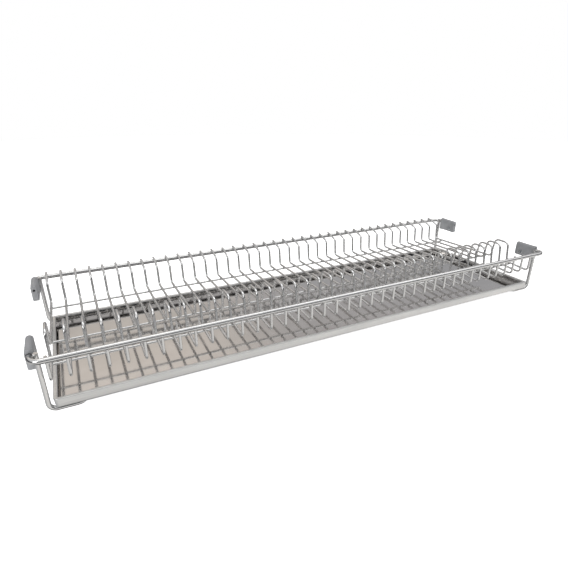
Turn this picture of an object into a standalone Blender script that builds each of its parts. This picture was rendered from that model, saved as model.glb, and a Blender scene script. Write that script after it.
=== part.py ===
"""Stainless steel wire dish drying rack with a drip tray that slides out to the front.

The rack hangs between two upright panels, such as the sides of a wall cabinet. X runs along the
rack, Y from front to back and Z up. The origin is under the middle of the rack, at the height of
the lowest point of its cradles. The plate wires, the rails and the cradles are one welded frame;
every weld is left open by a hair, so that each wire stays a solid of its own.
"""
from math import cos, floor, pi, sin, tan

import bmesh
import bpy
from mathutils import Vector

# Driving dimensions, in metres.
overall_length = 0.863        # over the outer faces of the end clips
rail_spacing = 0.278          # front rail to back rail, centre to centre
rail_above_bar = 0.0735       # rail centres above the centres of the bars under the tray
weld_gap = 0.0003             # between wires that are welded to each other

# Rails: a long round bar, turned in at both ends to plug into the clips.
rail_diameter = 0.007
rail_corner_radius = 0.012
rail_stub_length = 0.044      # from the rail's centre line to the end of the turned-in stub

# Plate wires: one bent profile, repeated along the rack.
plate_wire_pitch = 0.0213
plate_wire_diameter = 0.0038
first_wire_inset = 0.0211     # from the left clips' outer faces; the row is laid off from here
last_wire_least_inset = 0.0195
back_wall_inset = 0.028       # from the back rail to the top of the wire's back wall
back_wall_drop = 0.002        # its top is this much below the rail's centre
back_wall_lean = 0.003
back_floor_depth = 0.0335     # below the rails, at the foot of the back wall
hump_foot_depth = 0.0285      # the floors rise to here, at the hump
front_floor_depth = 0.032     # at the front end of the front floor
hump_front_foot = 0.053       # behind the front rail
hump_back_foot = 0.091
hump_lean = 0.0045            # each leg of the hump leans in by this much
hump_height = 0.008           # above the rails
hump_corner_radius = 0.009
wire_bend_radius = 0.006
back_hook_reach = 0.002       # the wire's end passes the middle of the back rail by this much
front_tip_height = 0.002      # the wire's other end stands this far above the front rail's centre

# Long thin wires that tie the plate wires together from below.
tie_wire_diameter = 0.0034
tie_wire_overhang = 0.003
front_tie_inset = 0.047       # behind the front rail
middle_tie_inset = 0.105
back_tie_before_wall = 0.016  # in front of the foot of the wires' back wall

# Cradles: thick wire from rail to rail at each end, down, inwards and under the tray.
cradle_diameter = 0.006
cradle_leg_inset = 0.013      # leg's centre line behind the front rail, and before the back rail
cradle_top = 0.0045           # the leg's end stands this far above the rail's centre
cradle_jog = 0.040            # from the leg inwards to the bar under the tray
cradle_bend_radius = 0.009

# Drip tray: a folded sheet steel pan.
tray_front_inset = 0.005      # tray's front face behind the front rail's centre
tray_back_inset = 0.031       # tray's back face in front of the back rail's centre
tray_height = 0.0135
tray_wall = 0.0008
tray_lip = 0.005              # width of the folded rim
tray_lip_drop = 0.0028        # height of the rim's turned-down edge
tray_end_clearance = 0.0069   # from tray end to cradle leg, with the tray in the middle
tray_shift = -0.0035          # the loose tray sits this far from the middle, along +X
tray_draft = 0.0012           # the walls lean out by this much from floor to rim
tray_rest_gap = 0.0003

# End clips: moulded plastic, screwed to the panel, with a socket for a rail's stub.
clip_wall = 0.0007            # of plastic on each side of the socket
clip_length = 0.040
clip_above_rail = 0.008
clip_below_rail = 0.017
clip_edge_radius = 0.0015
clip_mouth_gap = 0.0005       # between the clip's mouth and the cradle's leg
clip_flare = 0.0010           # the mouth's rim stands out by this much on the inner side
clip_flare_straight = 0.003   # length of the rim before it tapers
clip_flare_length = 0.009     # from the mouth to where the flare ends
clip_end_rounding = 0.003     # the far end's outline is drawn in by this much
socket_clearance = 0.0003     # all round the stub
socket_end_clearance = 0.001  # between the stub's end and the socket's shoulder
vent_diameter = 0.0036        # drains the socket through the clip's far end
cutter_margin = 0.004         # a cutter passes the surface that it cuts by this much
screw_from_end = 0.012        # screw's axis from the clip's far end
screw_below_rail = 0.0095

# Countersunk fixing screws.
screw_diameter = 0.004
screw_head_diameter = 0.0078
screw_head_height = 0.0024
screw_clearance = 0.0003
screw_tip_inset = 0.0005      # the screw's tip stays inside the clip's outer face
screw_tip_diameter = 0.002

# Facets: sides of a round section, or steps of a bend.
rail_rounding = 3             # a wire has four sides and two more for each step of rounding
cradle_rounding = 2
tie_wire_rounding = 2
plate_wire_rounding = 1
rail_corner_steps = 5
cradle_bend_steps = 4
plate_wire_bend_steps = 2
clip_crown_steps = 8
hole_sides = 16

# Worked out from the dimensions above.
half_length = overall_length / 2
rail_z = rail_above_bar + cradle_diameter / 2
front_y = -rail_spacing / 2
back_y = rail_spacing / 2
over_rail = rail_diameter / 2 + weld_gap + plate_wire_diameter / 2
clip_width = rail_diameter + 2 * (socket_clearance + clip_wall)
stub_x = half_length - clip_width / 2
leg_x = stub_x - rail_diameter / 2 - weld_gap - cradle_diameter / 2
clip_mouth_inset = cradle_leg_inset + cradle_diameter / 2 + clip_mouth_gap
bar_z = cradle_diameter / 2
tray_bottom_z = cradle_diameter + tray_rest_gap
tray_half_length = leg_x - cradle_diameter / 2 - tray_end_clearance
wire_row_room = overall_length - first_wire_inset - last_wire_least_inset
plate_wire_count = 1 + floor(wire_row_room / plate_wire_pitch)
first_wire_x = first_wire_inset - half_length
last_wire_x = first_wire_x + plate_wire_pitch * (plate_wire_count - 1)
wall_foot_inset = rail_spacing - back_wall_inset - back_wall_lean


def clear_scene():
    for old in list(bpy.data.objects):
        bpy.data.objects.remove(old, do_unlink=True)


def make_material(name, colour, metallic, roughness):
    material = bpy.data.materials.new(name)
    material.use_nodes = True
    shader = material.node_tree.nodes["Principled BSDF"]
    shader.inputs["Base Color"].default_value = (*colour, 1.0)
    shader.inputs["Metallic"].default_value = metallic
    shader.inputs["Roughness"].default_value = roughness
    return material


def rounded_path(corners, radii, arc_steps):
    """Points along straight runs whose inner corners are bent to the radii given."""
    points = [Vector(corners[0])]
    for before, corner, after, radius in zip(corners, corners[1:], corners[2:], radii):
        corner = Vector(corner)
        back = (Vector(before) - corner).normalized()
        ahead = (Vector(after) - corner).normalized()
        half_angle = back.angle(ahead) / 2
        centre = corner + (back + ahead).normalized() * (radius / sin(half_angle))
        start = corner + back * (radius / tan(half_angle)) - centre
        finish = corner + ahead * (radius / tan(half_angle)) - centre
        sweep = start.angle(finish)
        for step in range(arc_steps + 1):
            share = step / arc_steps
            weight_start = sin((1 - share) * sweep) / sin(sweep)
            weight_finish = sin(share * sweep) / sin(sweep)
            points.append(centre + start * weight_start + finish * weight_finish)
    points.append(Vector(corners[-1]))
    return points


def wire_curve(name, points, diameter, rounding):
    """A round wire along the points, as curve data with closed ends."""
    curve = bpy.data.curves.new(name, "CURVE")
    curve.dimensions = "3D"
    curve.bevel_depth = diameter / 2
    curve.bevel_resolution = rounding
    curve.use_fill_caps = True
    curve.resolution_u = 1
    curve.render_resolution_u = 0
    spline = curve.splines.new("POLY")
    spline.points.add(len(points) - 1)
    for target, point in zip(spline.points, points):
        target.co = (*point, 1.0)
    return curve


def place(name, data, material, location=(0.0, 0.0, 0.0)):
    obj = bpy.data.objects.new(name, data)
    if not data.materials:
        data.materials.append(material)
    obj.location = location
    bpy.context.scene.collection.objects.link(obj)
    return obj


def mesh_from(name, bm):
    bmesh.ops.recalc_face_normals(bm, faces=bm.faces)
    mesh = bpy.data.meshes.new(name)
    bm.to_mesh(mesh)
    bm.free()
    return mesh


def cut(obj, cutter):
    """Subtract a hidden helper from an object."""
    cutter.hide_render = True
    cutter.display_type = "WIRE"
    modifier = obj.modifiers.new(cutter.name, "BOOLEAN")
    modifier.operation = "DIFFERENCE"
    modifier.solver = "EXACT"
    modifier.object = cutter


def build_rail(name, y, inward, material):
    """A rail whose two ends are turned towards the other rail."""
    corners = [
        (-stub_x, y + inward * rail_stub_length, rail_z),
        (-stub_x, y, rail_z),
        (stub_x, y, rail_z),
        (stub_x, y + inward * rail_stub_length, rail_z),
    ]
    points = rounded_path(corners, [rail_corner_radius] * 2, rail_corner_steps)
    place(name, wire_curve(name, points, rail_diameter, rail_rounding), material)


def plate_wire_profile():
    """The bent profile of a plate wire, from the back rail to the front rail."""
    corners = [
        (0, back_y + back_hook_reach, rail_z + over_rail),
        (0, back_y - back_hook_reach, rail_z + over_rail),
        (0, back_y - back_wall_inset, rail_z - back_wall_drop),
        (0, front_y + wall_foot_inset, rail_z - back_floor_depth),
        (0, front_y + hump_back_foot, rail_z - hump_foot_depth),
        (0, front_y + hump_back_foot - hump_lean, rail_z + hump_height),
        (0, front_y + hump_front_foot + hump_lean, rail_z + hump_height),
        (0, front_y + hump_front_foot, rail_z - hump_foot_depth),
        (0, front_y + over_rail, rail_z - front_floor_depth),
        (0, front_y + over_rail, rail_z + front_tip_height),
    ]
    radii = [wire_bend_radius] * 4 + [hump_corner_radius] * 2 + [wire_bend_radius] * 2
    return rounded_path(corners, radii, plate_wire_bend_steps)


def build_plate_wires(material):
    profile = plate_wire_profile()
    curve = wire_curve("plate_wire", profile, plate_wire_diameter, plate_wire_rounding)
    for index in range(plate_wire_count):
        x = first_wire_x + index * plate_wire_pitch
        place(f"plate_wire_{index:02d}", curve, material, (x, 0, 0))


def floor_depth_at(inset):
    """Depth of the plate wires' floor below the rails, this far behind the front rail."""
    if inset < hump_front_foot:
        fall = front_floor_depth - hump_foot_depth
        return hump_foot_depth + fall * (hump_front_foot - inset) / (hump_front_foot - over_rail)
    fall = back_floor_depth - hump_foot_depth
    return hump_foot_depth + fall * (inset - hump_back_foot) / (wall_foot_inset - hump_back_foot)


def build_tie_wire(name, inset, material):
    """A long wire welded under the plate wires' floors."""
    below_floor = plate_wire_diameter / 2 + weld_gap + tie_wire_diameter / 2
    y = front_y + inset
    z = rail_z - floor_depth_at(inset) - below_floor
    ends = [
        Vector((first_wire_x - tie_wire_overhang, y, z)),
        Vector((last_wire_x + tie_wire_overhang, y, z)),
    ]
    place(name, wire_curve(name, ends, tie_wire_diameter, tie_wire_rounding), material)


def build_cradle(name, side, material):
    """One wire: down from the front rail, inwards, under the tray and up to the back rail."""
    leg_front = front_y + cradle_leg_inset
    leg_back = back_y - cradle_leg_inset
    outer = side * leg_x
    inner = side * (leg_x - cradle_jog)
    top = rail_z + cradle_top
    corners = [
        (outer, leg_front, top),
        (outer, leg_front, bar_z),
        (inner, leg_front, bar_z),
        (inner, leg_back, bar_z),
        (outer, leg_back, bar_z),
        (outer, leg_back, top),
    ]
    points = rounded_path(corners, [cradle_bend_radius] * 4, cradle_bend_steps)
    place(name, wire_curve(name, points, cradle_diameter, cradle_rounding), material)


def tray_ring(bm, half_x, front, back, z):
    """Four corner points of one level of the tray's folded section."""
    return [
        bm.verts.new((-half_x, front, z)),
        bm.verts.new((half_x, front, z)),
        bm.verts.new((half_x, back, z)),
        bm.verts.new((-half_x, back, z)),
    ]


def build_tray(material):
    """The pan: floor, leaning walls and a rim folded inwards and down."""
    front = front_y + tray_front_inset
    back = back_y - tray_back_inset
    rim_z = tray_bottom_z + tray_height
    bm = bmesh.new()
    section = [
        (tray_draft, tray_bottom_z),
        (0, rim_z),
        (tray_lip, rim_z),
        (tray_lip, rim_z - tray_lip_drop),
        (tray_lip - tray_wall, rim_z - tray_lip_drop),
        (tray_lip - tray_wall, rim_z - tray_wall),
        (tray_wall, rim_z - tray_wall),
        (tray_draft + tray_wall, tray_bottom_z + tray_wall),
    ]
    rings = [
        tray_ring(bm, tray_half_length - inset, front + inset, back - inset, z)
        for inset, z in section
    ]
    for lower, upper in zip(rings, rings[1:]):
        for corner in range(4):
            following = (corner + 1) % 4
            bm.faces.new((lower[corner], lower[following], upper[following], upper[corner]))
    bm.faces.new(rings[0])
    bm.faces.new(rings[-1])
    place("drip_tray", mesh_from("drip_tray", bm), material, (tray_shift, 0, 0))


def turned_along_x(name, radii_at_x):
    """A turned solid about the X axis, from (x, radius) pairs."""
    bm = bmesh.new()
    rings = []
    for x, radius in radii_at_x:
        ring = []
        for side in range(hole_sides):
            angle = 2 * pi * side / hole_sides
            ring.append(bm.verts.new((x, radius * cos(angle), radius * sin(angle))))
        rings.append(ring)
    for lower, upper in zip(rings, rings[1:]):
        for side in range(hole_sides):
            following = (side + 1) % hole_sides
            bm.faces.new((lower[side], lower[following], upper[following], upper[side]))
    bm.faces.new(rings[0])
    bm.faces.new(rings[-1])
    return mesh_from(name, bm)


def clip_section(inner_extra):
    """Outline of the clip across the rack: flat sides and foot, and a round top.

    The first number of each pair runs from the outer face inwards, the second up from the rail.
    """
    inner_width = clip_width + inner_extra
    radius = inner_width / 2
    crown = clip_above_rail + inner_extra / 2
    foot = -clip_below_rail - inner_extra / 2
    outline = [
        (0, foot + clip_edge_radius),
        (clip_edge_radius, foot),
        (inner_width - clip_edge_radius, foot),
        (inner_width, foot + clip_edge_radius),
    ]
    for step in range(clip_crown_steps + 1):
        angle = pi * step / clip_crown_steps
        outline.append((radius + radius * cos(angle), crown - radius + radius * sin(angle)))
    return outline


def build_clip(name, side, y_rail, inward, material):
    """A clip block with a socket for the stub and a countersunk hole for the screw."""
    mouth = y_rail + inward * clip_mouth_inset
    stations = [
        (0, clip_flare),
        (clip_flare_straight, clip_flare),
        (clip_flare_length, 0),
        (clip_length - clip_edge_radius, 0),
        (clip_length, -clip_end_rounding),
    ]
    bm = bmesh.new()
    rings = []
    for distance, extra in stations:
        start = max(-extra / 2, 0)
        rings.append([
            bm.verts.new((
                side * (half_length - start - across),
                mouth + inward * distance,
                rail_z + up,
            ))
            for across, up in clip_section(extra)
        ])
    points_round = len(rings[0])
    for near, far in zip(rings, rings[1:]):
        for point in range(points_round):
            following = (point + 1) % points_round
            bm.faces.new((near[point], near[following], far[following], far[point]))
    bm.faces.new(rings[0])
    bm.faces.new(rings[-1])
    clip = place(name, mesh_from(name, bm), material)

    socket_mesh = turned_along_x(name + "_socket", socket_profile())
    socket = place(name + "_socket", socket_mesh, material, (side * stub_x, mouth, rail_z))
    socket.rotation_euler = (0, 0, inward * pi / 2)
    cut(clip, socket)

    hole_mesh = turned_along_x(name + "_screw_hole", screw_hole_profile())
    hole_place = screw_place(side, y_rail, inward)
    hole = place(name + "_screw_hole", hole_mesh, material, hole_place)
    hole.scale = (-side, 1, 1)
    cut(clip, hole)


def screw_place(side, y_rail, inward):
    """Where the screw's axis meets the clip's inner face."""
    return (
        side * (half_length - clip_width),
        y_rail + inward * (clip_mouth_inset + clip_length - screw_from_end),
        rail_z - screw_below_rail,
    )


def socket_profile():
    """(x, radius) pairs of the socket, from before the clip's mouth to beyond its far end."""
    socket_radius = rail_diameter / 2 + socket_clearance
    depth = rail_stub_length - clip_mouth_inset + socket_end_clearance
    return [
        (-cutter_margin, socket_radius),
        (depth, socket_radius),
        (depth, vent_diameter / 2),
        (clip_length + cutter_margin, vent_diameter / 2),
    ]


def screw_profile():
    """(x, radius) pairs of a countersunk screw: its head is flush with x = 0, its tip at -X."""
    shank = screw_diameter / 2
    tip = screw_tip_inset - clip_width
    return [
        (tip, screw_tip_diameter / 2),
        (tip + shank, shank),
        (-screw_head_height, shank),
        (0, screw_head_diameter / 2),
    ]


def screw_hole_profile():
    """(x, radius) pairs of the countersunk hole that the screw sits in."""
    shank = screw_diameter / 2 + screw_clearance
    head = screw_head_diameter / 2 + screw_clearance
    return [
        (-clip_width - cutter_margin, shank),
        (-screw_head_height - screw_clearance, shank),
        (0, head),
        (cutter_margin, head),
    ]


def build_screw(name, side, y_rail, inward, material):
    mesh = turned_along_x(name, screw_profile())
    screw = place(name, mesh, material, screw_place(side, y_rail, inward))
    screw.scale = (-side, 1, 1)


def build_rack():
    clear_scene()
    wire_steel = make_material("polished_stainless_wire", (0.62, 0.62, 0.61), 1.0, 0.2)
    sheet_steel = make_material("brushed_stainless_sheet", (0.55, 0.54, 0.52), 1.0, 0.3)
    plastic = make_material("moulded_grey_plastic", (0.33, 0.34, 0.35), 0.0, 0.5)
    screw_steel = make_material("zinc_plated_steel", (0.6, 0.6, 0.58), 1.0, 0.35)

    build_rail("front_rail", front_y, 1, wire_steel)
    build_rail("back_rail", back_y, -1, wire_steel)
    build_plate_wires(wire_steel)
    build_tie_wire("front_tie_wire", front_tie_inset, wire_steel)
    build_tie_wire("middle_tie_wire", middle_tie_inset, wire_steel)
    build_tie_wire("back_tie_wire", wall_foot_inset - back_tie_before_wall, wire_steel)
    build_cradle("left_cradle", -1, wire_steel)
    build_cradle("right_cradle", 1, wire_steel)
    build_tray(sheet_steel)
    corners = [
        ("front_left", -1, front_y, 1),
        ("front_right", 1, front_y, 1),
        ("back_left", -1, back_y, -1),
        ("back_right", 1, back_y, -1),
    ]
    for corner, side, y_rail, inward in corners:
        build_clip(corner + "_clip", side, y_rail, inward, plastic)
        build_screw(corner + "_screw", side, y_rail, inward, screw_steel)


build_rack()
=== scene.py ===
"""Finished look of a stainless steel wire dish drying rack with a drip tray that slides out.

The welded frame is drawn from round stainless wire and then electropolished, the tray is folded
from bright sheet with a brushed outside, and the rails plug into four moulded plastic end clips.
X runs along the rack, Y from front to back and Z up, all in metres.
"""
from math import cos, pi, radians, sin

import bmesh
import bpy
from mathutils import Euler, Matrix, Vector, noise


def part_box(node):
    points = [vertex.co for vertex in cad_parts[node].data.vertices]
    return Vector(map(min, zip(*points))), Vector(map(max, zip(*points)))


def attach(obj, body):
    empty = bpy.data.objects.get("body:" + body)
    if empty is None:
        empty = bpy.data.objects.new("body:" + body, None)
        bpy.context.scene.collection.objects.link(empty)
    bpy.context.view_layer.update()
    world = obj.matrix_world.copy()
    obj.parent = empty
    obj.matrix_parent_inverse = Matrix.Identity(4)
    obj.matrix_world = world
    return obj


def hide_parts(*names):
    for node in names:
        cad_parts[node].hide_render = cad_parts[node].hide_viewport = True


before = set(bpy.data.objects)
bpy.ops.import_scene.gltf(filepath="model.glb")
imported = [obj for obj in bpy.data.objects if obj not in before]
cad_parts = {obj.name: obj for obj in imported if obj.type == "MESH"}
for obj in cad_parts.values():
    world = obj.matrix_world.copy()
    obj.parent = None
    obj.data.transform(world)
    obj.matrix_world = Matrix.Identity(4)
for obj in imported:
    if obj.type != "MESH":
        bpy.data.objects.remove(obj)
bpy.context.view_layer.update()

MM = 0.001

# Places read from the frame.
rail_low, rail_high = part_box("front_rail")
back_rail_low, back_rail_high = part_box("back_rail")
first_wire_low, first_wire_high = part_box("plate_wire_00")
tray_low, tray_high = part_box("drip_tray")

plate_wire_nodes = sorted(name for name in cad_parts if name.startswith("plate_wire_"))
last_wire_low, last_wire_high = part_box(plate_wire_nodes[-1])

# Bar and wire sizes.
rail_diameter = 7 * MM
cradle_diameter = 6 * MM
tie_wire_diameter = 3.4 * MM
plate_wire_diameter = 3.8 * MM
weld_gap = 0.3 * MM            # the welded wires stand this far apart; a bead closes the gap

# Centre lines.
rail_z = (rail_low.z + rail_high.z) / 2
front_y = rail_low.y + rail_diameter / 2
back_y = back_rail_high.y - rail_diameter / 2
stub_x = rail_high.x - rail_diameter / 2
first_wire_x = (first_wire_low.x + first_wire_high.x) / 2
last_wire_x = (last_wire_low.x + last_wire_high.x) / 2
plate_wire_pitch = (last_wire_x - first_wire_x) / (len(plate_wire_nodes) - 1)
over_rail = rail_diameter / 2 + weld_gap + plate_wire_diameter / 2

# Bends of the frame's wires.
rail_corner_radius = 12 * MM
cradle_leg_inset = 13 * MM
cradle_jog = 40 * MM
cradle_bend_radius = 9 * MM
wire_bend_radius = 6 * MM
hump_corner_radius = 9 * MM

# The plate wire's profile, from the rails' centre lines.
back_hook_reach = 2 * MM
back_wall_inset = 28 * MM
back_wall_drop = 2 * MM
wall_foot_inset = 31 * MM      # before the back rail
back_floor_depth = 33.5 * MM
hump_foot_depth = 28.5 * MM
front_floor_depth = 32 * MM
hump_front_foot = 53 * MM      # behind the front rail
hump_back_foot = 91 * MM
hump_lean = 4.5 * MM
hump_height = 8 * MM
front_tip_height = 2 * MM

# Drip tray sheet work.
sheet_thickness = 0.8 * MM
tray_draft = 1.2 * MM
tray_rim_width = 5 * MM
tray_hem_drop = 2.8 * MM
tray_corner_radius = 5 * MM
tray_floor_bend = 2.2 * MM     # outer radius where the floor turns up into the walls
tray_rim_bend = 1.1 * MM
tray_waviness = 0.12 * MM      # how far the thin floor is out of flat

# End clips and screws.
clip_width = 9 * MM
clip_flare = 1.0 * MM
clip_flare_straight = 3 * MM
clip_flare_length = 9 * MM
clip_edge_radius = 1.5 * MM
socket_clearance = 0.3 * MM
socket_end_clearance = 1 * MM
vent_diameter = 3.6 * MM
screw_diameter = 4 * MM
screw_head_diameter = 7.8 * MM
screw_head_height = 2.4 * MM
recess_span = 4.4 * MM
recess_width = 0.9 * MM
recess_depth = 1.3 * MM
screw_head_edge = 0.25 * MM
lip_radius = 0.5 * MM          # rounding of the clip's mouth
socket_relief = 0.5 * MM       # chamfers at the socket's steps and mouth
cutter_reach = 2 * MM          # how far a cutter stands out of what it cuts

# Welds, and how evenly the wires were set out.
end_chamfer_share = 0.12       # of a wire's diameter, where its ends are dressed
end_taper = 0.78               # of a wire's diameter, at its tips
placing_error = 0.2 * MM
turning_error = radians(0.12)
wire_bead_radius = 1.25 * MM
cradle_bead_radius = 1.9 * MM
front_bead_below_rail = 1 * MM

# How finely shapes are drawn.
bar_sides = 28
bar_bend_steps = 14
plate_wire_sides = 12
plate_wire_bend_steps = 6
tray_cells_along = 180
tray_cells_deep = 56
corner_steps = 4
crown_steps = 24
turned_sides = 40

# The studio, and the camera that looks at the rack from its front left.
camera_place = (-0.35448, -0.62956, 0.34215)
camera_turn = (66.101, -0.155, -26.562)     # degrees
camera_lens = 27.832
camera_shift = (-0.0099, 0.0157)
floor_radius = 4.0
surround_radius = 9.0
room_back = (0.45, 0.89, 0.0)               # level direction to the room's back wall


# ---------------------------------------------------------------- helpers

def colour(hex_code):
    """An sRGB hex colour as the linear values that shaders take."""
    values = []
    for start in (0, 2, 4):
        part = int(hex_code[start:start + 2], 16) / 255
        values.append(part / 12.92 if part <= 0.04045 else ((part + 0.055) / 1.055) ** 2.4)
    return (*values, 1.0)


def fill_sockets(tree, node, inputs):
    """Links or sets a node's input sockets by name."""
    for name, value in inputs.items():
        if isinstance(value, bpy.types.NodeSocket):
            tree.links.new(value, node.inputs[name])
        else:
            node.inputs[name].default_value = value


def add_node(tree, kind, settings=None, inputs=None, stops=None):
    """Adds a node, sets its settings, fills or links its sockets, and gives a ramp its stops."""
    node = tree.nodes.new(kind)
    for name, value in (settings or {}).items():
        setattr(node, name, value)
    fill_sockets(tree, node, inputs or {})
    if stops:
        elements = node.color_ramp.elements
        elements.remove(elements[-1])
        elements[0].position, elements[0].color = stops[0]
        for position, shade in stops[1:]:
            elements.new(position).color = shade
    return node


def start_material(name, metallic, ior=None):
    """A new material; returns it, its tree and its Principled shader."""
    material = bpy.data.materials.new(name)
    material.use_nodes = True
    shader = material.node_tree.nodes["Principled BSDF"]
    shader.inputs["Metallic"].default_value = metallic
    if ior is not None:
        shader.inputs["IOR"].default_value = ior
    return material, material.node_tree, shader


# ---------------------------------------------------------------- materials

def electropolished_wire():
    """Drawn stainless wire, electropolished: bright, with soft-edged highlights.

    The acid bath leaves a faint orange peel and slow changes of gloss along each wire.
    """
    material, tree, shader = start_material("electropolished_stainless_wire", 1.0)
    place = add_node(tree, "ShaderNodeTexCoord").outputs["Object"]
    drift = add_node(tree, "ShaderNodeTexNoise", inputs={
        "Vector": place, "Scale": 1 / (22 * MM), "Detail": 3.0, "Roughness": 0.6})
    peel = add_node(tree, "ShaderNodeTexNoise", inputs={
        "Vector": place, "Scale": 1 / (0.9 * MM), "Detail": 2.0, "Roughness": 0.5})
    shade = add_node(tree, "ShaderNodeValToRGB", inputs={"Fac": drift.outputs["Fac"]}, stops=[
        (0.30, colour("D8D8D8")), (0.55, colour("E2E2E1")), (0.75, colour("DCDBDD"))])
    gloss = add_node(tree, "ShaderNodeMapRange", inputs={
        "Value": drift.outputs["Fac"], "From Min": 0.3, "From Max": 0.7,
        "To Min": 0.22, "To Max": 0.30})
    bump = add_node(tree, "ShaderNodeBump", inputs={
        "Height": peel.outputs["Fac"], "Strength": 0.25, "Distance": 0.04 * MM})
    fill_sockets(tree, shader, {
        "Base Color": shade.outputs["Color"], "Roughness": gloss.outputs["Result"],
        "Normal": bump.outputs["Normal"]})
    return material


def weld_steel():
    """Resistance welds after pickling: matt, greyer than the wire, with a trace of straw tint."""
    material, tree, shader = start_material("pickled_weld_steel", 1.0)
    place = add_node(tree, "ShaderNodeTexCoord").outputs["Object"]
    grain = add_node(tree, "ShaderNodeTexNoise", inputs={
        "Vector": place, "Scale": 1 / (0.7 * MM), "Detail": 3.0, "Roughness": 0.6})
    shade = add_node(tree, "ShaderNodeValToRGB", inputs={"Fac": grain.outputs["Fac"]}, stops=[
        (0.35, colour("7E7A76")), (0.50, colour("A19E9B")), (0.65, colour("8F8A84"))])
    bump = add_node(tree, "ShaderNodeBump", inputs={
        "Height": grain.outputs["Fac"], "Strength": 0.6, "Distance": 0.15 * MM})
    fill_sockets(tree, shader, {
        "Base Color": shade.outputs["Color"], "Roughness": 0.42, "Normal": bump.outputs["Normal"]})
    return material


def brushed_sheet():
    """Stainless sheet with a long-grain brushed face: pale, with fine lines along the rack.

    Real grit lines are about 0.1 mm apart; they are drawn 0.5 mm apart so that they show.
    """
    material, tree, shader = start_material("brushed_stainless_sheet", 1.0)
    place = add_node(tree, "ShaderNodeTexCoord").outputs["Object"]
    along = add_node(tree, "ShaderNodeMapping", inputs={
        "Vector": place, "Scale": (1 / (60 * MM), 1 / (0.5 * MM), 1 / (0.5 * MM))})
    lines = add_node(tree, "ShaderNodeTexNoise", inputs={
        "Vector": along.outputs["Vector"], "Scale": 1.0, "Detail": 4.0, "Roughness": 0.65})
    wipe = add_node(tree, "ShaderNodeTexNoise", inputs={
        "Vector": place, "Scale": 1 / (70 * MM), "Detail": 2.0, "Roughness": 0.5})
    shade = add_node(tree, "ShaderNodeValToRGB", inputs={"Fac": lines.outputs["Fac"]}, stops=[
        (0.30, colour("D2D2D2")), (0.50, colour("E3E3E2")), (0.70, colour("EEEEEC"))])
    gloss = add_node(tree, "ShaderNodeMapRange", inputs={
        "Value": wipe.outputs["Fac"], "From Min": 0.3, "From Max": 0.7,
        "To Min": 0.30, "To Max": 0.42})
    bump = add_node(tree, "ShaderNodeBump", inputs={
        "Height": lines.outputs["Fac"], "Strength": 0.35, "Distance": 0.05 * MM})
    fill_sockets(tree, shader, {
        "Base Color": shade.outputs["Color"], "Roughness": gloss.outputs["Result"],
        "Normal": bump.outputs["Normal"]})
    return material


def bright_sheet():
    """Bright annealed stainless sheet inside the tray: nearly a mirror, slightly warm.

    Wiping leaves faint hairlines, and dried water leaves duller patches.
    """
    material, tree, shader = start_material("bright_annealed_stainless", 1.0)
    place = add_node(tree, "ShaderNodeTexCoord").outputs["Object"]
    patches = add_node(tree, "ShaderNodeTexNoise", inputs={
        "Vector": place, "Scale": 1 / (45 * MM), "Detail": 4.0, "Roughness": 0.55})
    along = add_node(tree, "ShaderNodeMapping", inputs={
        "Vector": place, "Scale": (1 / (90 * MM), 1 / (0.8 * MM), 1 / (0.8 * MM))})
    hairlines = add_node(tree, "ShaderNodeTexNoise", inputs={
        "Vector": along.outputs["Vector"], "Scale": 1.0, "Detail": 3.0, "Roughness": 0.6})
    shade = add_node(tree, "ShaderNodeValToRGB", inputs={"Fac": patches.outputs["Fac"]}, stops=[
        (0.35, colour("D2D0CE")), (0.65, colour("DAD8D6"))])
    gloss = add_node(tree, "ShaderNodeMapRange", inputs={
        "Value": patches.outputs["Fac"], "From Min": 0.35, "From Max": 0.65,
        "To Min": 0.05, "To Max": 0.11})
    bump = add_node(tree, "ShaderNodeBump", inputs={
        "Height": hairlines.outputs["Fac"], "Strength": 0.04, "Distance": 0.01 * MM})
    fill_sockets(tree, shader, {
        "Base Color": shade.outputs["Color"], "Roughness": gloss.outputs["Result"],
        "Normal": bump.outputs["Normal"]})
    return material


def moulded_plastic():
    """Injection-moulded grey polypropylene: satin, with a fine spark-eroded grain."""
    material, tree, shader = start_material("moulded_polypropylene", 0.0, ior=1.49)
    place = add_node(tree, "ShaderNodeTexCoord").outputs["Object"]
    grain = add_node(tree, "ShaderNodeTexNoise", inputs={
        "Vector": place, "Scale": 1 / (0.45 * MM), "Detail": 2.0, "Roughness": 0.5})
    flow = add_node(tree, "ShaderNodeTexNoise", inputs={
        "Vector": place, "Scale": 1 / (9 * MM), "Detail": 3.0, "Roughness": 0.5})
    shade = add_node(tree, "ShaderNodeValToRGB", inputs={"Fac": flow.outputs["Fac"]}, stops=[
        (0.30, colour("949698")), (0.70, colour("A0A1A4"))])
    gloss = add_node(tree, "ShaderNodeMapRange", inputs={
        "Value": flow.outputs["Fac"], "From Min": 0.3, "From Max": 0.7,
        "To Min": 0.36, "To Max": 0.46})
    bump = add_node(tree, "ShaderNodeBump", inputs={
        "Height": grain.outputs["Fac"], "Strength": 0.3, "Distance": 0.05 * MM})
    fill_sockets(tree, shader, {
        "Base Color": shade.outputs["Color"], "Roughness": gloss.outputs["Result"],
        "Normal": bump.outputs["Normal"]})
    return material


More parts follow.
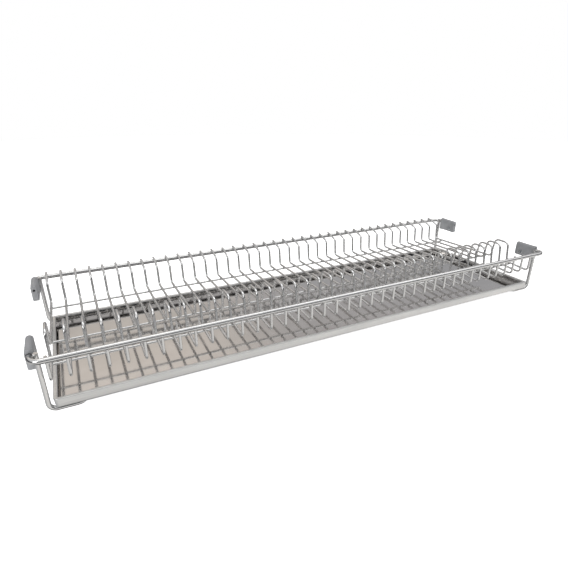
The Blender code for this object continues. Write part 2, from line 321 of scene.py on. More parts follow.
def zinc_plate():
    """Clear zinc plate on a steel screw: bright, bluish, with turning marks."""
    material, tree, shader = start_material("zinc_plated_steel", 1.0)
    place = add_node(tree, "ShaderNodeTexCoord").outputs["Object"]
    mottle = add_node(tree, "ShaderNodeTexNoise", inputs={
        "Vector": place, "Scale": 1 / (1.2 * MM), "Detail": 3.0, "Roughness": 0.6})
    shade = add_node(tree, "ShaderNodeValToRGB", inputs={"Fac": mottle.outputs["Fac"]}, stops=[
        (0.35, colour("C6CBD0")), (0.65, colour("DDE0E2"))])
    bump = add_node(tree, "ShaderNodeBump", inputs={
        "Height": mottle.outputs["Fac"], "Strength": 0.3, "Distance": 0.04 * MM})
    fill_sockets(tree, shader, {
        "Base Color": shade.outputs["Color"], "Roughness": 0.27, "Normal": bump.outputs["Normal"]})
    return material


def studio_paper():
    """Matt white paper under the rack."""
    material, tree, shader = start_material("matt_white_paper", 0.0)
    place = add_node(tree, "ShaderNodeTexCoord").outputs["Object"]
    fibre = add_node(tree, "ShaderNodeTexNoise", inputs={
        "Vector": place, "Scale": 1 / (120 * MM), "Detail": 2.0})
    shade = add_node(tree, "ShaderNodeValToRGB", inputs={"Fac": fibre.outputs["Fac"]}, stops=[
        (0.4, colour("F4F4F3")), (0.6, colour("F6F6F6"))])
    fill_sockets(tree, shader, {
        "Base Color": shade.outputs["Color"], "Roughness": 0.9, "Specular IOR Level": 0.1,
        "Emission Color": colour("FFFFFF"), "Emission Strength": 0.85})
    return material


# ---------------------------------------------------------------- node trees

def start_tree(name, sockets):
    """A Geometry Nodes tree with a geometry input, the named inputs given and one output."""
    tree = bpy.data.node_groups.new(name, "GeometryNodeTree")
    tree.is_modifier = True
    tree.interface.new_socket("Geometry", in_out="INPUT", socket_type="NodeSocketGeometry")
    for socket_name, kind in sockets:
        tree.interface.new_socket(socket_name, in_out="INPUT", socket_type=kind)
    tree.interface.new_socket("Geometry", in_out="OUTPUT", socket_type="NodeSocketGeometry")
    return tree, tree.nodes.new("NodeGroupInput")


def end_tree(tree, geometry, material):
    """Realizes what the tree made, shades it smooth, gives it its material and sends it out."""
    real = add_node(tree, "GeometryNodeRealizeInstances", inputs={"Geometry": geometry})
    smooth = add_node(tree, "GeometryNodeSetShadeSmooth", inputs={
        "Geometry": real.outputs["Geometry"]})
    painted = add_node(tree, "GeometryNodeSetMaterial", inputs={
        "Geometry": smooth.outputs["Geometry"], "Material": material})
    add_node(tree, "NodeGroupOutput", inputs={"Geometry": painted.outputs["Geometry"]})
    return tree


def bent_wire_tree():
    """Bends round wire along a centre line, and repeats it along X as a welder sets it out."""
    tree, given = start_tree("bent_wire_row", [
        ("Wire Diameter", "NodeSocketFloat"),
        ("Sides", "NodeSocketInt"),
        ("Bend Steps", "NodeSocketInt"),
        ("Wires", "NodeSocketInt"),
        ("Pitch", "NodeSocketFloat"),
        ("Placing Error", "NodeSocketFloat"),
        ("Turning Error", "NodeSocketFloat"),
        ("Seed", "NodeSocketInt"),
        ("Material", "NodeSocketMaterial"),
    ])
    line = add_node(tree, "GeometryNodeMeshToCurve", inputs={"Mesh": given.outputs["Geometry"]})
    bend = add_node(tree, "GeometryNodeInputNamedAttribute", {"data_type": "FLOAT"}, {
        "Name": "bend_radius"})
    bent = add_node(tree, "GeometryNodeFilletCurve", {"mode": "POLY"}, {
        "Curve": line.outputs["Curve"], "Radius": bend.outputs["Attribute"],
        "Count": given.outputs["Bend Steps"], "Limit Radius": True})
    taper = add_node(tree, "GeometryNodeInputNamedAttribute", {"data_type": "FLOAT"}, {
        "Name": "end_taper"})
    tapered = add_node(tree, "GeometryNodeSetCurveRadius", inputs={
        "Curve": bent.outputs["Curve"], "Radius": taper.outputs["Attribute"]})
    half = add_node(tree, "ShaderNodeMath", {"operation": "MULTIPLY"}, {
        0: given.outputs["Wire Diameter"], 1: 0.5})
    section = add_node(tree, "GeometryNodeCurvePrimitiveCircle", {"mode": "RADIUS"}, {
        "Resolution": given.outputs["Sides"], "Radius": half.outputs["Value"]})
    wire = add_node(tree, "GeometryNodeCurveToMesh", inputs={
        "Curve": tapered.outputs["Curve"], "Profile Curve": section.outputs["Curve"],
        "Fill Caps": True})
    pitch = add_node(tree, "ShaderNodeCombineXYZ", inputs={"X": given.outputs["Pitch"]})
    row = add_node(tree, "GeometryNodeMeshLine", {"mode": "OFFSET", "count_mode": "TOTAL"}, {
        "Count": given.outputs["Wires"], "Offset": pitch.outputs["Vector"]})
    error = add_node(tree, "FunctionNodeRandomValue", {"data_type": "FLOAT_VECTOR"}, {
        0: (-1.0, -1.0, -1.0), 1: (1.0, 1.0, 1.0), "Seed": given.outputs["Seed"]})
    parts = add_node(tree, "ShaderNodeSeparateXYZ", inputs={"Vector": error.outputs["Value"]})
    slip = add_node(tree, "ShaderNodeMath", {"operation": "MULTIPLY"}, {
        0: parts.outputs["X"], 1: given.outputs["Placing Error"]})
    slip_vector = add_node(tree, "ShaderNodeCombineXYZ", inputs={"X": slip.outputs["Value"]})
    placed = add_node(tree, "GeometryNodeSetPosition", inputs={
        "Geometry": row.outputs["Mesh"], "Offset": slip_vector.outputs["Vector"]})
    turn = add_node(tree, "ShaderNodeMath", {"operation": "MULTIPLY"}, {
        0: parts.outputs["Z"], 1: given.outputs["Turning Error"]})
    turn_vector = add_node(tree, "ShaderNodeCombineXYZ", inputs={"Z": turn.outputs["Value"]})
    wires = add_node(tree, "GeometryNodeInstanceOnPoints", inputs={
        "Points": placed.outputs["Geometry"], "Instance": wire.outputs["Mesh"],
        "Rotation": turn_vector.outputs["Vector"]})
    return end_tree(tree, wires.outputs["Instances"], given.outputs["Material"])


def weld_bead_tree():
    """Sets a small bead at each crossing of a row of wires, each a little different."""
    tree, given = start_tree("weld_bead_row", [
        ("Bead Radius", "NodeSocketFloat"),
        ("Wires", "NodeSocketInt"),
        ("Pitch", "NodeSocketFloat"),
        ("Seed", "NodeSocketInt"),
        ("Material", "NodeSocketMaterial"),
    ])
    pitch = add_node(tree, "ShaderNodeCombineXYZ", inputs={"X": given.outputs["Pitch"]})
    row = add_node(tree, "GeometryNodeMeshLine", {"mode": "OFFSET", "count_mode": "TOTAL"}, {
        "Count": given.outputs["Wires"], "Offset": pitch.outputs["Vector"]})
    copies = add_node(tree, "GeometryNodeInstanceOnPoints", inputs={
        "Points": row.outputs["Mesh"], "Instance": given.outputs["Geometry"]})
    crossings = add_node(tree, "GeometryNodeRealizeInstances", inputs={
        "Geometry": copies.outputs["Instances"]})
    bead = add_node(tree, "GeometryNodeMeshIcoSphere", inputs={
        "Radius": given.outputs["Bead Radius"], "Subdivisions": 2})
    swelling = add_node(tree, "FunctionNodeRandomValue", {"data_type": "FLOAT_VECTOR"}, {
        0: (0.85, 0.85, 0.85), 1: (1.15, 1.15, 1.15), "Seed": given.outputs["Seed"]})
    beads = add_node(tree, "GeometryNodeInstanceOnPoints", inputs={
        "Points": crossings.outputs["Geometry"], "Instance": bead.outputs["Mesh"],
        "Scale": swelling.outputs["Value"]})
    return end_tree(tree, beads.outputs["Instances"], given.outputs["Material"])


def grow(name, seed_mesh, tree, sizes):
    """Runs a tree on a seed mesh; the result is an object with a plain mesh."""
    obj = bpy.data.objects.new(name, seed_mesh)
    bpy.context.scene.collection.objects.link(obj)
    modifier = obj.modifiers.new(tree.name, "NODES")
    modifier.node_group = tree
    for item in tree.interface.items_tree:
        if item.in_out == "INPUT" and item.name in sizes:
            modifier[item.identifier] = sizes[item.name]
    depsgraph = bpy.context.evaluated_depsgraph_get()
    plain = bpy.data.meshes.new_from_object(obj.evaluated_get(depsgraph), depsgraph=depsgraph)
    obj.modifiers.remove(modifier)
    obj.data = plain
    obj.data.name = name
    plain.set_sharp_from_angle(angle=radians(50))
    return obj


# ---------------------------------------------------------------- welded frame

def centre_line(name, corners, bend_radii, diameter):
    """A wire's centre line as an edge mesh that carries its bends and its dressed ends."""
    chamfer = end_chamfer_share * diameter
    points = [Vector(corner) for corner in corners]
    near_start = points[0] + (points[1] - points[0]).normalized() * chamfer
    near_end = points[-1] + (points[-2] - points[-1]).normalized() * chamfer
    points = [points[0], near_start, *points[1:-1], near_end, points[-1]]
    radii = [0.0, 0.0, *bend_radii, 0.0, 0.0]
    tapers = [end_taper, *[1.0] * (len(points) - 2), end_taper]
    mesh = bpy.data.meshes.new(name)
    mesh.from_pydata(points, [(i, i + 1) for i in range(len(points) - 1)], [])
    mesh.attributes.new("bend_radius", "FLOAT", "POINT").data.foreach_set("value", radii)
    mesh.attributes.new("end_taper", "FLOAT", "POINT").data.foreach_set("value", tapers)
    return mesh


def bent_bar(name, corners, bend_radii, diameter, tree, material):
    """One thick bar of the frame."""
    seed = centre_line(name, corners, bend_radii, diameter)
    return grow(name, seed, tree, {
        "Wire Diameter": diameter, "Sides": bar_sides, "Bend Steps": bar_bend_steps,
        "Wires": 1, "Pitch": 0.0, "Placing Error": 0.0, "Turning Error": 0.0, "Seed": 0,
        "Material": material})


def build_rail(name, y, inward, tree, material):
    """A rail along the rack, its ends bent inward to plug into the clips."""
    stub_end = rail_high.y if inward > 0 else back_rail_low.y
    corners = [
        (-stub_x, stub_end, rail_z),
        (-stub_x, y, rail_z),
        (stub_x, y, rail_z),
        (stub_x, stub_end, rail_z),
    ]
    rail = bent_bar(
        name + "_bar", corners, [rail_corner_radius] * 2, rail_diameter, tree, material)
    finish_piece(rail, "rack", [name])


def plate_wire_corners():
    """Corners of the plate wire's profile, from the back rail to the front rail."""
    return [
        (first_wire_x, back_y + back_hook_reach, rail_z + over_rail),
        (first_wire_x, back_y - back_hook_reach, rail_z + over_rail),
        (first_wire_x, back_y - back_wall_inset, rail_z - back_wall_drop),
        (first_wire_x, back_y - wall_foot_inset, rail_z - back_floor_depth),
        (first_wire_x, front_y + hump_back_foot, rail_z - hump_foot_depth),
        (first_wire_x, front_y + hump_back_foot - hump_lean, rail_z + hump_height),
        (first_wire_x, front_y + hump_front_foot + hump_lean, rail_z + hump_height),
        (first_wire_x, front_y + hump_front_foot, rail_z - hump_foot_depth),
        (first_wire_x, front_y + over_rail, rail_z - front_floor_depth),
        (first_wire_x, front_y + over_rail, rail_z + front_tip_height),
    ]


def build_plate_wires(tree, material):
    """The row of bent wires that the plates stand between."""
    radii = [wire_bend_radius] * 4 + [hump_corner_radius] * 2 + [wire_bend_radius] * 2
    seed = centre_line("plate_wires", plate_wire_corners(), radii, plate_wire_diameter)
    wires = grow("plate_wires", seed, tree, {
        "Wire Diameter": plate_wire_diameter, "Sides": plate_wire_sides,
        "Bend Steps": plate_wire_bend_steps, "Wires": len(plate_wire_nodes),
        "Pitch": plate_wire_pitch, "Placing Error": placing_error,
        "Turning Error": turning_error, "Seed": 4, "Material": material})
    finish_piece(wires, "rack", plate_wire_nodes)


def build_tie_wire(name, tree, material):
    """A straight wire under the row; returns its middle."""
    low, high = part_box(name)
    middle = (low + high) / 2
    corners = [(low.x, middle.y, middle.z), (high.x, middle.y, middle.z)]
    bar = bent_bar(name + "_bar", corners, [], tie_wire_diameter, tree, material)
    finish_piece(bar, "rack", [name])
    return middle


def build_cradle(name, side, tree, material):
    """The bar at one end that carries the tray; returns the X of its legs."""
    low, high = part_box(name)
    outer = side * (max(abs(low.x), abs(high.x)) - cradle_diameter / 2)
    inner = outer - side * cradle_jog
    bar_z = low.z + cradle_diameter / 2
    leg_front = front_y + cradle_leg_inset
    leg_back = back_y - cradle_leg_inset
    corners = [
        (outer, leg_front, high.z),
        (outer, leg_front, bar_z),
        (inner, leg_front, bar_z),
        (inner, leg_back, bar_z),
        (outer, leg_back, bar_z),
        (outer, leg_back, high.z),
    ]
    bar = bent_bar(
        name + "_bar", corners, [cradle_bend_radius] * 4, cradle_diameter, tree, material)
    finish_piece(bar, "rack", [name])
    return outer


def point_mesh(name, points):
    """Loose points for a tree to start from."""
    mesh = bpy.data.meshes.new(name)
    mesh.from_pydata([Vector(point) for point in points], [], [])
    return mesh


def build_weld_beads(tie_middles, leg_xs, tree, material):
    """Beads where plate wires cross the rails and ties, and where cradles meet the rails."""
    below_wire = tie_wire_diameter / 2 + weld_gap / 2
    crossings = [
        (first_wire_x, back_y, rail_z + rail_diameter / 2 + weld_gap / 2),
        (first_wire_x, front_y + rail_diameter / 2 + weld_gap / 2,
         rail_z - front_bead_below_rail),
    ]
    crossings += [(first_wire_x, middle.y, middle.z + below_wire) for middle in tie_middles]
    beads = grow("wire_weld_beads", point_mesh("wire_crossings", crossings), tree, {
        "Bead Radius": wire_bead_radius, "Wires": len(plate_wire_nodes),
        "Pitch": plate_wire_pitch, "Seed": 7, "Material": material})
    finish_piece(beads, "rack", [])

    joints = []
    for leg_x in leg_xs:
        side = 1 if leg_x > 0 else -1
        contact_x = leg_x + side * (cradle_diameter / 2 + weld_gap / 2)
        for leg_y in (front_y + cradle_leg_inset, back_y - cradle_leg_inset):
            joints.append((contact_x, leg_y, rail_z))
    leg_beads = grow("cradle_weld_beads", point_mesh("cradle_joints", joints), tree, {
        "Bead Radius": cradle_bead_radius, "Wires": 1, "Pitch": 0.0, "Seed": 3,
        "Material": material})
    finish_piece(leg_beads, "rack", [])


# ---------------------------------------------------------------- drip tray

def arc_points(centre, radius, start, finish, steps):
    """Points of an arc in the (inset, height) plane of the tray's section."""
    points = []
    for step in range(steps + 1):
        angle = start + (finish - start) * step / steps
        points.append((centre[0] + radius * cos(angle), centre[1] + radius * sin(angle)))
    return points


def tray_section():
    """The folded section as (inset, height) pairs, from under the floor, round to above it."""
    wall = sheet_thickness
    bottom = tray_low.z
    rim = tray_high.z
    hem = rim - tray_hem_drop
    fold = wall / 2
    outer = arc_points(
        (tray_draft + tray_floor_bend, bottom + tray_floor_bend), tray_floor_bend,
        1.5 * pi, pi, 6)
    outer += arc_points((tray_rim_bend, rim - tray_rim_bend), tray_rim_bend, pi, 0.5 * pi, 5)
    outer += arc_points(
        (tray_rim_width - tray_rim_bend, rim - tray_rim_bend), tray_rim_bend, 0.5 * pi, 0, 5)
    outer += arc_points((tray_rim_width - fold, hem + fold), fold, 0, -pi, 6)
    inner_bend = tray_rim_bend - wall
    inner = arc_points(
        (tray_rim_width - tray_rim_bend, rim - tray_rim_bend), inner_bend, 0, 0.5 * pi, 3)
    inner += arc_points((tray_rim_bend, rim - tray_rim_bend), inner_bend, 0.5 * pi, pi, 3)
    inner += arc_points(
        (tray_draft + tray_floor_bend, bottom + tray_floor_bend), tray_floor_bend - wall,
        pi, 1.5 * pi, 6)
    return outer, inner


def side_stations(length, corner_share, cells):
    """Positions along one side, from 0 to 1, closer together where the corners turn."""
    corner = corner_share / length
    stations = [corner * step / corner_steps for step in range(corner_steps)]
    stations += [corner + (1 - 2 * corner) * step / cells for step in range(cells + 1)]
    stations += [1 - corner * step / corner_steps for step in reversed(range(corner_steps))]
    return stations


def tray_outline(inset, z, x_stations, y_stations):
    """The four sides of the pan at one level, each a list of points on a rounded rectangle."""
    low = Vector((tray_low.x + inset, tray_low.y + inset))
    high = Vector((tray_high.x - inset, tray_high.y - inset))
    radius = max(tray_corner_radius - inset, 0.6 * MM)

    def rounded(x, y):
        """Pulls a point of the plain rectangle's edge onto its rounded corner."""
        near_x = min(max(x, low.x + tray_corner_radius), high.x - tray_corner_radius)
        near_y = min(max(y, low.y + tray_corner_radius), high.y - tray_corner_radius)
        if near_x == x or near_y == y:
            return Vector((x, y, z))
        centre_x = low.x + radius if x < near_x else high.x - radius
        centre_y = low.y + radius if y < near_y else high.y - radius
        away = Vector((x - near_x, y - near_y)).normalized()
        return Vector((centre_x + away.x * radius, centre_y + away.y * radius, z))

    width = high.x - low.x
    depth = high.y - low.y
    front = [rounded(low.x + share * width, low.y) for share in x_stations]
    back = [rounded(low.x + share * width, high.y) for share in x_stations]
    left = [rounded(low.x, low.y + share * depth) for share in y_stations]
    right = [rounded(high.x, low.y + share * depth) for share in y_stations]
    return front, right, back, left


def waviness(x, y, edge_fade):
    """How far the thin floor stands out of flat at a place, nothing at its edges."""
    rolling = noise.noise(Vector((x / (110 * MM), y / (70 * MM), 0.3)))
    ripple = noise.noise(Vector((x / (45 * MM), y / (50 * MM), 7.1)))
    return tray_waviness * edge_fade * (rolling + 0.35 * ripple)


def floor_grid(bm, sides, x_stations, y_stations, flip, slot):
    """Fills one face of the floor between the four sides, with the sheet's waviness."""
    front, right, back, left = sides
    columns = len(front)
    rows = len(left)
    grid = [[None] * rows for _ in range(columns)]
    for i in range(columns):
        u = x_stations[i]
        for j in range(rows):
            v = y_stations[j]
            if j == 0:
                grid[i][j] = front[i]
            elif j == rows - 1:
                grid[i][j] = back[i]
            elif i == 0:
                grid[i][j] = left[j]
            elif i == columns - 1:
                grid[i][j] = right[j]
            else:
                place = (front[i].co * (1 - v) + back[i].co * v
                         + left[j].co * (1 - u) + right[j].co * u
                         - front[0].co * (1 - u) * (1 - v) - front[-1].co * u * (1 - v)
                         - back[0].co * (1 - u) * v - back[-1].co * u * v)
                fade = min(1.0, 8 * u, 30 * u * (1 - u), 8 * v * (1 - v))
                place.z += waviness(place.x, place.y, fade)
                grid[i][j] = bm.verts.new(place)
    for i in range(columns - 1):
        for j in range(rows - 1):
            corners = [grid[i][j], grid[i + 1][j], grid[i + 1][j + 1], grid[i][j + 1]]
            face = bm.faces.new(corners[::-1] if flip else corners)
            face.material_index = slot


def build_tray(outside, inside):
    """The pan: wavy floor, leaning walls, and a rim folded in and hemmed."""
    size = tray_high - tray_low
    corner_share = 1.3 * tray_corner_radius
    x_stations = side_stations(size.x, corner_share, tray_cells_along)
    y_stations = side_stations(size.y, corner_share, tray_cells_deep)
    outer, inner = tray_section()
    bm = bmesh.new()
    rings = []
    for inset, z in outer + inner:
        front, right, back, left = tray_outline(inset, z, x_stations, y_stations)
        loop = front[:-1] + right[:-1] + back[:0:-1] + left[:0:-1]
        rings.append([bm.verts.new(point) for point in loop])
    count = len(rings[0])
    for level, (lower, upper) in enumerate(zip(rings, rings[1:])):
        for k in range(count):
            following = (k + 1) % count
            face = bm.faces.new((lower[k], lower[following], upper[following], upper[k]))
            face.material_index = 0 if level < len(outer) else 1
    across = len(x_stations) - 1
    deep = len(y_stations) - 1

    def sides_of(ring):
        """The ring's front, right, back and left sides, each from its low end to its high end."""
        front = ring[:across + 1]
        right = ring[across:across + deep + 1]
        back = ring[across + deep:2 * across + deep + 1][::-1]
        left = (ring[2 * across + deep:] + [ring[0]])[::-1]
        return front, right, back, left

    floor_grid(bm, sides_of(rings[0]), x_stations, y_stations, True, 0)
    floor_grid(bm, sides_of(rings[-1]), x_stations, y_stations, False, 1)
    tray = mesh_object("folded_drip_tray", bm, [outside, inside])
    tray.data.set_sharp_from_angle(angle=radians(60))
    finish_piece(tray, "tray", ["drip_tray"])


# ---------------------------------------------------------------- clips and screws

def mesh_object(name, bm, materials):
    """Turns a closed bmesh into an object with its faces pointing out, shaded smooth."""
    bmesh.ops.recalc_face_normals(bm, faces=bm.faces)
    mesh = bpy.data.meshes.new(name)
    bm.to_mesh(mesh)
    bm.free()
    mesh.shade_smooth()
    for material in materials:
        mesh.materials.append(material)
    obj = bpy.data.objects.new(name, mesh)
    bpy.context.scene.collection.objects.link(obj)
    return obj


def loft(bm, rings):
    """Closed solid through rings of points of equal count."""
    layers = [[bm.verts.new(point) for point in ring] for ring in rings]
    count = len(layers[0])
    for near, far in zip(layers, layers[1:]):
        for k in range(count):
            following = (k + 1) % count
            bm.faces.new((near[k], near[following], far[following], far[k]))
    bm.faces.new(layers[0])
    bm.faces.new(layers[-1])


def turned(name, stations, sides, place, towards):
    """A turned solid: (distance, radius) stations along a direction from a place."""
    bm = bmesh.new()
    turn = Vector(towards).to_track_quat("X", "Z")
    rings = []
    for distance, radius in stations:
        rings.append([
            Vector(place) + turn @ Vector((
                distance, radius * cos(2 * pi * k / sides), radius * sin(2 * pi * k / sides)))
            for k in range(sides)
        ])
    loft(bm, rings)
    return mesh_object(name, bm, [])


def cut_away(obj, cutters):
    """Subtracts the cutters and removes them; the result is a plain mesh."""
    for cutter in cutters:
        modifier = obj.modifiers.new(cutter.name, "BOOLEAN")
        modifier.operation = "DIFFERENCE"
        modifier.solver = "EXACT"
        modifier.object = cutter
    depsgraph = bpy.context.evaluated_depsgraph_get()
    plain = bpy.data.meshes.new_from_object(obj.evaluated_get(depsgraph), depsgraph=depsgraph)
    obj.modifiers.clear()
    obj.data = plain
    plain.set_sharp_from_angle(angle=radians(35))
    for cutter in cutters:
        bpy.data.objects.remove(cutter)


def clip_outline(low, high, shrink):
    """The clip's outline across the rack at one station: flat sides and foot, round top.

    The numbers are X and Z; shrink draws the whole outline in.
    """
    left = low.x + shrink
    right = high.x - shrink
    foot = low.z + shrink
    radius = (right - left) / 2
    crown_z = high.z - shrink - radius
    edge = clip_edge_radius
    points = [(left + edge * (1 - cos(t)), foot + edge * (1 - sin(t)))
              for t in (0, pi / 8, pi / 4, 3 * pi / 8, pi / 2)]
    points += [(right - edge * (1 - cos(t)), foot + edge * (1 - sin(t)))
               for t in (pi / 2, 3 * pi / 8, pi / 4, pi / 8, 0)]
    for step in range(crown_steps + 1):
        angle = pi * step / crown_steps
        points.append((left + radius + radius * cos(angle), crown_z + radius * sin(angle)))
    return points


def build_clip(corner, side, y_rail, inward, material):
    """A clip with a flared mouth, a rounded far end, a socket and a countersunk hole."""
    low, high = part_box(corner + "_clip")
    mouth = low.y if inward > 0 else high.y
    length = high.y - low.y
    body_low = Vector((low.x, 0, low.z + clip_flare / 2))
    body_high = Vector((high.x, 0, high.z - clip_flare / 2))
    if side < 0:
        body_high.x = low.x + clip_width
    else:
        body_low.x = high.x - clip_width
    rings = []

    def ring(distance, grow_by, shrink):
        """One station; grow_by is the share of the flare."""
        swell = clip_flare * grow_by
        here_low = Vector((body_low.x - (swell if side > 0 else 0), 0, body_low.z - swell / 2))
        here_high = Vector((body_high.x + (swell if side < 0 else 0), 0, body_high.z + swell / 2))
        outline = clip_outline(here_low, here_high, shrink)
        rings.append([Vector((x, mouth + inward * distance, z)) for x, z in outline])

    for step in range(4):
        angle = pi / 2 * step / 3
        ring(lip_radius * (1 - sin(angle)), 1.0, lip_radius * (1 - cos(angle)))
    rings.reverse()
    ring(clip_flare_straight, 1.0, 0)
    for step in range(1, 9):
        share = step / 8
        distance = clip_flare_straight + (clip_flare_length - clip_flare_straight) * share
        ring(distance, 0.5 + 0.5 * cos(pi * share), 0)
    for step in range(6):
        angle = pi / 2 * step / 5
        ring(length - clip_edge_radius * (1 - sin(angle)), 0, clip_edge_radius * (1 - cos(angle)))
    bm = bmesh.new()
    loft(bm, rings)
    clip = mesh_object(corner + "_end_clip", bm, [material])

    socket_radius = rail_diameter / 2 + socket_clearance
    relief = socket_relief
    reach = cutter_reach
    vent = vent_diameter / 2
    stub_length = (rail_high.y - front_y) if inward > 0 else (back_y - back_rail_low.y)
    depth = stub_length - abs(mouth - y_rail) + socket_end_clearance
    socket = turned(
        corner + "_socket",
        [(-reach, socket_radius + relief + reach), (0, socket_radius + relief),
         (relief, socket_radius), (depth, socket_radius), (depth + relief, vent),
         (length - relief, vent), (length, vent + relief), (length + reach, vent + relief)],
        turned_sides, (side * stub_x, mouth, rail_z), (0, inward, 0))
    screw_low, screw_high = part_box(corner + "_screw")
    axis = (screw_low + screw_high) / 2
    face = side * (abs(axis.x) - (screw_high.x - screw_low.x) / 2)
    head = screw_head_diameter / 2 + socket_clearance
    shank = screw_diameter / 2 + socket_clearance
    hole = turned(
        corner + "_screw_hole",
        [(-reach, head), (0, head), (head - shank, shank), (clip_width + reach, shank)],
        turned_sides, (face, axis.y, axis.z), (side, 0, 0))
    cut_away(clip, [socket, hole])
    finish_piece(clip, "rack", [corner + "_clip"])
    return axis, face


def build_screw(corner, side, axis, face, material):
    """A countersunk screw with a cross recess."""
    head = screw_head_diameter / 2
    shank = screw_diameter / 2
    length = abs(2 * (axis.x - face))
    edge = screw_head_edge
    stations = [
        (0, head - edge), (edge * 0.5, head), (screw_head_height, shank),
        (length - shank, shank), (length, shank / 2)]
    screw = turned(
        corner + "_csk_screw", stations, turned_sides, (face, axis.y, axis.z), (side, 0, 0))
    screw.data.materials.append(material)
    cutters = []
    for index, (long_y, long_z) in enumerate(((1, 0), (0, 1))):
        bm = bmesh.new()
        rings = []
        for distance, share in ((-recess_depth, 1.5), (recess_depth, 0.45)):
            half_long = recess_span / 2 * share
            half_short = recess_width / 2 * (0.5 + 0.5 * share)
            half_y = half_long if long_y else half_short
            half_z = half_long if long_z else half_short
            rings.append([
                Vector((face + side * distance, axis.y + sy * half_y, axis.z + sz * half_z))
                for sy, sz in ((-1, -1), (1, -1), (1, 1), (-1, 1))
            ])
        loft(bm, rings)
        cutters.append(mesh_object(f"{corner}_recess_{index}", bm, []))
    cut_away(screw, cutters)
    finish_piece(screw, "rack", [corner + "_screw"])


# ---------------------------------------------------------------- fitting to the frame

def finish_piece(obj, body, replaced):
    """Ties a finished piece to its body and hides the nodes it stands for."""
    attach(obj, body)
    if replaced:
        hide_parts(*replaced)


# ---------------------------------------------------------------- studio

def build_floor():
    """A sheet of white paper, kept out of the steel's reflections so that they stay readable."""
    bm = bmesh.new()
    bmesh.ops.create_circle(bm, cap_ends=True, segments=96, radius=floor_radius)
    floor = mesh_object("studio_floor", bm, [studio_paper()])
    floor.visible_glossy = False


def build_backdrop():
    """A plain white surround that only the camera sees."""
    material = bpy.data.materials.new("white_surround")
    material.use_nodes = True
    tree = material.node_tree
    tree.nodes.clear()
    glow = add_node(tree, "ShaderNodeEmission", inputs={
        "Color": colour("FFFFFF"), "Strength": 1.0})
    add_node(tree, "ShaderNodeOutputMaterial", inputs={"Surface": glow.outputs["Emission"]})
    bm = bmesh.new()
    bmesh.ops.create_uvsphere(bm, u_segments=48, v_segments=24, radius=surround_radius)
    surround = mesh_object("white_surround", bm, [material])
    surround.visible_diffuse = False
    surround.visible_glossy = False
    surround.visible_transmission = False
    surround.visible_shadow = False


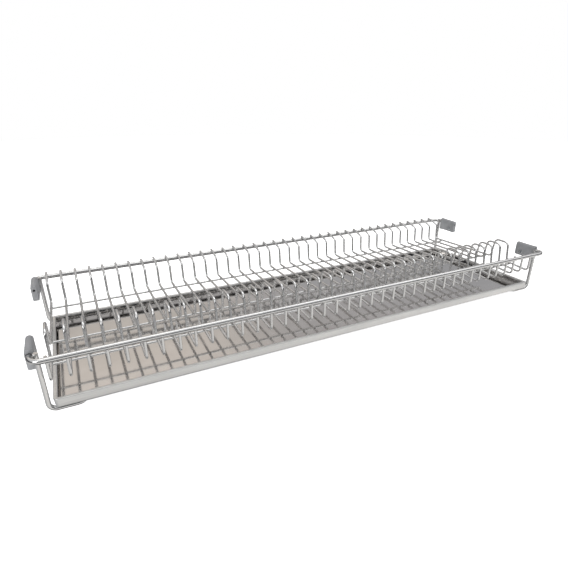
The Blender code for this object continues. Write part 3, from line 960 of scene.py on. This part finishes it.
def build_world():
    """What the steel mirrors: a room with a dark band at eye level in front and a lit ceiling.

    Four ramps run from the ground to the zenith. They stand for the room behind the rack to the
    right and to the left, the room in front of it, and its left end. They are blended by direction.
    """
    world = bpy.data.worlds.new("studio_room")
    bpy.context.scene.world = world
    world.use_nodes = True
    tree = world.node_tree
    tree.nodes.clear()
    direction = add_node(tree, "ShaderNodeTexCoord").outputs["Generated"]
    parts = add_node(tree, "ShaderNodeSeparateXYZ", inputs={"Vector": direction})
    height = add_node(tree, "ShaderNodeMapRange", inputs={
        "Value": parts.outputs["Z"], "From Min": -1.0, "From Max": 1.0})
    behind_right = add_node(tree, "ShaderNodeValToRGB", inputs={
        "Fac": height.outputs["Result"]}, stops=[
        (0.00, colour("2C2C30")), (0.05, colour("48484C")), (0.12, colour("8C8C8E")),
        (0.25, colour("A4A4A6")), (0.36, colour("8E8E90")), (0.50, colour("7C7C7E")),
        (0.58, colour("848486")), (0.66, colour("AAABAE")), (0.70, colour("B8B7B9")),
        (0.75, colour("BCB9B8")), (0.80, colour("DCD6D2")), (0.90, colour("BCBCBC")),
        (1.00, colour("C8C8C8"))])
    behind_left = add_node(tree, "ShaderNodeValToRGB", inputs={
        "Fac": height.outputs["Result"]}, stops=[
        (0.00, colour("2C2C30")), (0.05, colour("48484C")), (0.12, colour("8C8C8E")),
        (0.25, colour("B6B6B7")), (0.36, colour("A2A2A3")), (0.50, colour("8A8A8C")),
        (0.58, colour("989694")), (0.66, colour("BEBAB6")), (0.71, colour("D2CCC6")),
        (0.75, colour("E2DAD2")), (0.80, colour("F6EEE8")), (0.90, colour("CCCCCC")),
        (1.00, colour("C8C8C8"))])
    ahead = add_node(tree, "ShaderNodeValToRGB", inputs={
        "Fac": height.outputs["Result"]}, stops=[
        (0.00, colour("2C2C30")), (0.05, colour("606062")), (0.10, colour("CCCCCA")),
        (0.28, colour("FAF7F4")), (0.36, colour("F0F0EE")), (0.44, colour("B0B0B2")),
        (0.50, colour("747476")), (0.54, colour("404044")), (0.66, colour("38383C")),
        (0.715, colour("48484C")), (0.745, colour("C8C8CA")), (0.80, colour("E0E0E2")),
        (0.90, colour("D0D0D0")), (1.00, colour("C8C8C8"))])
    left = add_node(tree, "ShaderNodeValToRGB", inputs={
        "Fac": height.outputs["Result"]}, stops=[
        (0.00, colour("2C2C30")), (0.06, colour("606062")), (0.12, colour("B0B0B2")),
        (0.26, colour("D6D6D6")), (0.33, colour("B8B8B8")), (0.42, colour("A0A0A1")),
        (0.49, colour("6C6C6E")), (0.54, colour("343438")), (0.67, colour("2C2C30")),
        (0.73, colour("B0B0B2")), (0.78, colour("DCDCDE")), (1.00, colour("C8C8C8"))])
    facing = add_node(tree, "ShaderNodeVectorMath", {"operation": "DOT_PRODUCT"}, {
        0: direction, 1: room_back})
    side = add_node(tree, "ShaderNodeMapRange", {"interpolation_type": "SMOOTHSTEP"}, {
        "Value": facing.outputs["Value"], "From Min": 0.3, "From Max": 0.6})
    leftward = add_node(tree, "ShaderNodeMapRange", {"interpolation_type": "SMOOTHSTEP"}, {
        "Value": parts.outputs["X"], "From Min": -0.3, "From Max": -0.75})
    front_half = add_node(tree, "ShaderNodeMix", {"data_type": "RGBA"}, {
        0: leftward.outputs["Result"], 6: ahead.outputs["Color"], 7: left.outputs["Color"]})
    rightward = add_node(tree, "ShaderNodeMapRange", {"interpolation_type": "SMOOTHSTEP"}, {
        "Value": parts.outputs["X"], "From Min": 0.15, "From Max": 0.45})
    back_half = add_node(tree, "ShaderNodeMix", {"data_type": "RGBA"}, {
        0: rightward.outputs["Result"], 6: behind_left.outputs["Color"],
        7: behind_right.outputs["Color"]})
    room = add_node(tree, "ShaderNodeMix", {"data_type": "RGBA"}, {
        0: side.outputs["Result"], 6: front_half.outputs[2], 7: back_half.outputs[2]})
    sky = add_node(tree, "ShaderNodeBackground", inputs={
        "Color": room.outputs[2], "Strength": 1.0})
    add_node(tree, "ShaderNodeOutputWorld", inputs={"Surface": sky.outputs["Background"]})


def add_softbox(name, place, target, width, depth, power):
    """A rectangular white soft light that faces a point; its sizes are in metres and watts."""
    light = bpy.data.lights.new(name, "AREA")
    light.shape = "RECTANGLE"
    light.size = width
    light.size_y = depth
    light.energy = power
    softbox = bpy.data.objects.new(name, light)
    softbox.location = place
    softbox.rotation_euler = (Vector(target) - Vector(place)).to_track_quat("-Z", "Y").to_euler()
    bpy.context.scene.collection.objects.link(softbox)


def build_softboxes():
    """A broad one over the rack, a weak one ahead of its right end and a strong one at its left."""
    add_softbox("ceiling_softbox", (0.4, 0.0, 1.6), (0.4, 0.05, 0), 2.6, 1.0, 10.0)
    add_softbox("right_softbox", (1.9, -0.9, 1.3), (0.1, 0, 0.05), 1.2, 1.0, 2.6)
    add_softbox("left_softbox", (-1.8, -1.3, 1.0), (-0.3, 0, 0.05), 0.9, 0.9, 11.0)


def build_camera():
    camera_data = bpy.data.cameras.new("camera")
    camera_data.lens = camera_lens
    camera_data.sensor_width = 36.0
    camera_data.shift_x, camera_data.shift_y = camera_shift
    camera = bpy.data.objects.new("camera", camera_data)
    camera.location = camera_place
    camera.rotation_euler = Euler([radians(angle) for angle in camera_turn])
    bpy.context.scene.collection.objects.link(camera)
    bpy.context.scene.camera = camera


# ---------------------------------------------------------------- the rack

def build_rack():
    """Every piece of the rack, with its finish."""
    wire_steel = electropolished_wire()
    bead_steel = weld_steel()
    wire_tree = bent_wire_tree()
    bead_tree = weld_bead_tree()
    build_rail("front_rail", front_y, 1, wire_tree, wire_steel)
    build_rail("back_rail", back_y, -1, wire_tree, wire_steel)
    build_plate_wires(wire_tree, wire_steel)
    ties = [build_tie_wire(name, wire_tree, wire_steel)
            for name in ("front_tie_wire", "middle_tie_wire", "back_tie_wire")]
    legs = [build_cradle("left_cradle", -1, wire_tree, wire_steel),
            build_cradle("right_cradle", 1, wire_tree, wire_steel)]
    build_weld_beads(ties, legs, bead_tree, bead_steel)
    build_tray(brushed_sheet(), bright_sheet())
    plastic = moulded_plastic()
    zinc = zinc_plate()
    corners = [
        ("front_left", -1, front_y, 1),
        ("front_right", 1, front_y, 1),
        ("back_left", -1, back_y, -1),
        ("back_right", 1, back_y, -1),
    ]
    for corner, side, y_rail, inward in corners:
        axis, face = build_clip(corner, side, y_rail, inward, plastic)
        build_screw(corner, side, axis, face, zinc)


build_camera()
build_rack()
build_floor()
build_backdrop()
build_world()
build_softboxes()
bpy.context.scene.view_settings.view_transform = "Standard"
